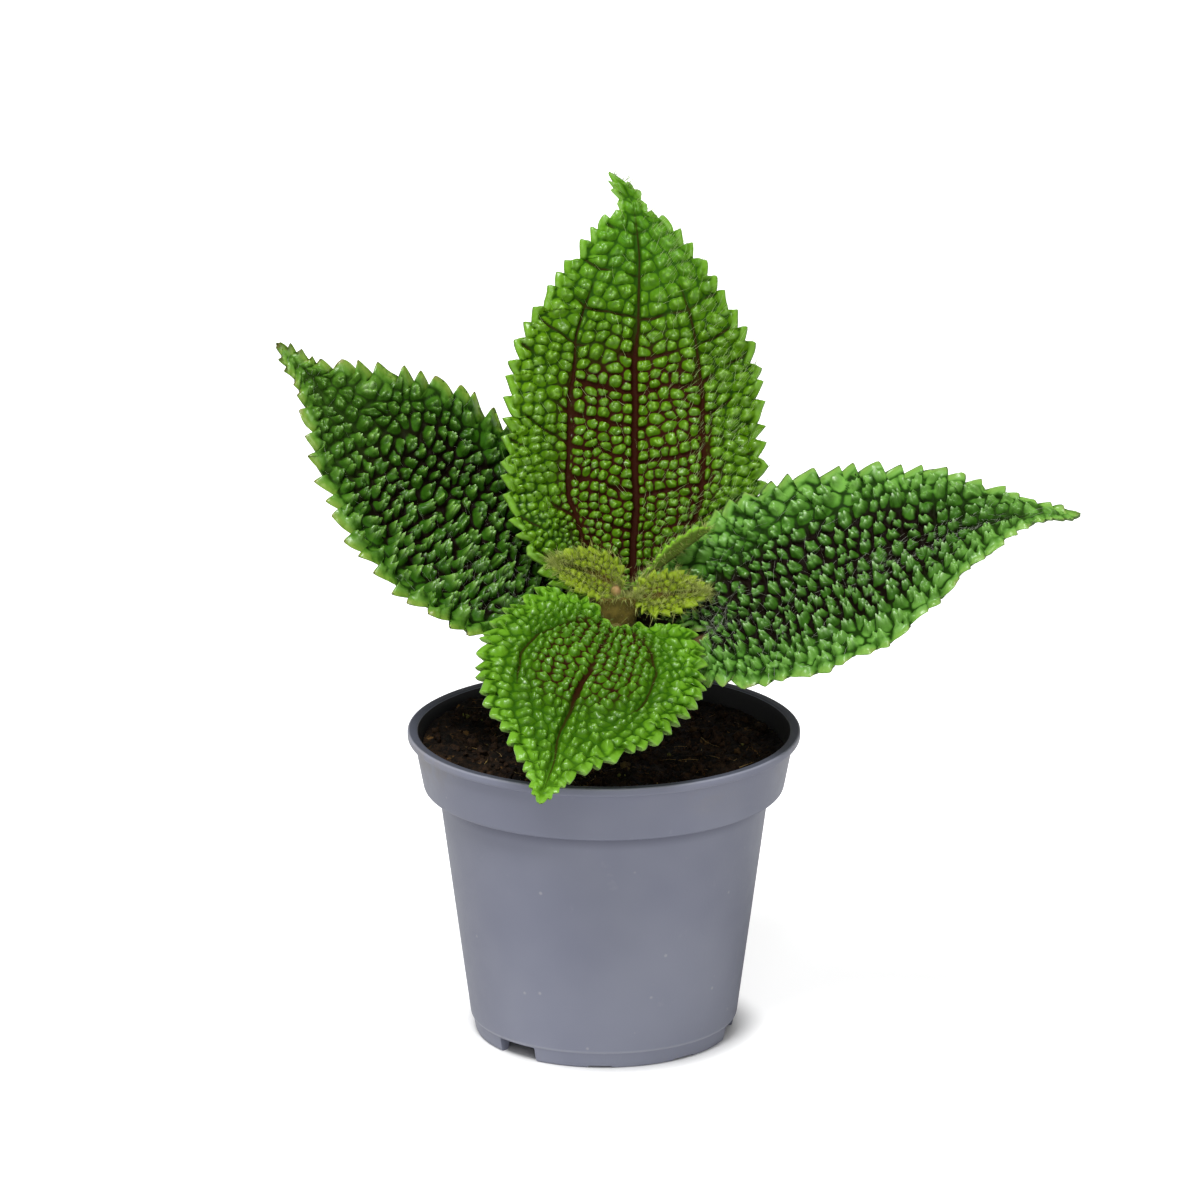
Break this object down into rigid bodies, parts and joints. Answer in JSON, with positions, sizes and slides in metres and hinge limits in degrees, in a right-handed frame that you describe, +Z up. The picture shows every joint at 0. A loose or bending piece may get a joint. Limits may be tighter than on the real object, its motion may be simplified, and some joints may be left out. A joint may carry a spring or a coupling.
{
  "type": "potted pilea",
  "caption": "Young pilea with quilted, toothed, veined leaves, growing in a small round plastic nursery pot filled with potting mix.",
  "frame": {"origin": "middle of the pot's foot, on the pot's axis, at the height of the surface it stands on", "axes": "+Z up along the pot's axis, -Y towards the side with the small heart-shaped hanging leaf, +X towards the large leaf that spreads to the right as seen from that side"},
  "size_m": [0.1219, 0.0842, 0.1273],
  "materials": {
    "pot_plastic": "satin moulded blue-grey polypropylene",
    "soil": "moist dark peat and fibre",
    "stem": "hairy green-brown plant stem",
    "leaf_dark": "glossy dark green quilted leaf with brown veins",
    "leaf_bright": "satin bright green quilted leaf with maroon veins",
    "leaf_young": "furry yellow-green young leaf",
    "bud": "pinkish tan downy bud"
  },
  "bodies": {
    "root": {"pot": "pot_plastic", "soil": "soil", "main_stem": "stem", "petiole_left": "stem", "petiole_right": "stem", "petiole_back": "stem", "petiole_front": "stem", "leaf_left": "leaf_dark", "leaf_right": "leaf_dark", "leaf_back": "leaf_bright", "leaf_front": "leaf_bright", "young_leaf_left": "leaf_young", "young_leaf_right": "leaf_young", "axillary_leaf": "leaf_young", "terminal_bud": "bud", "stipule": "bud"}
  },
  "joints": []
}
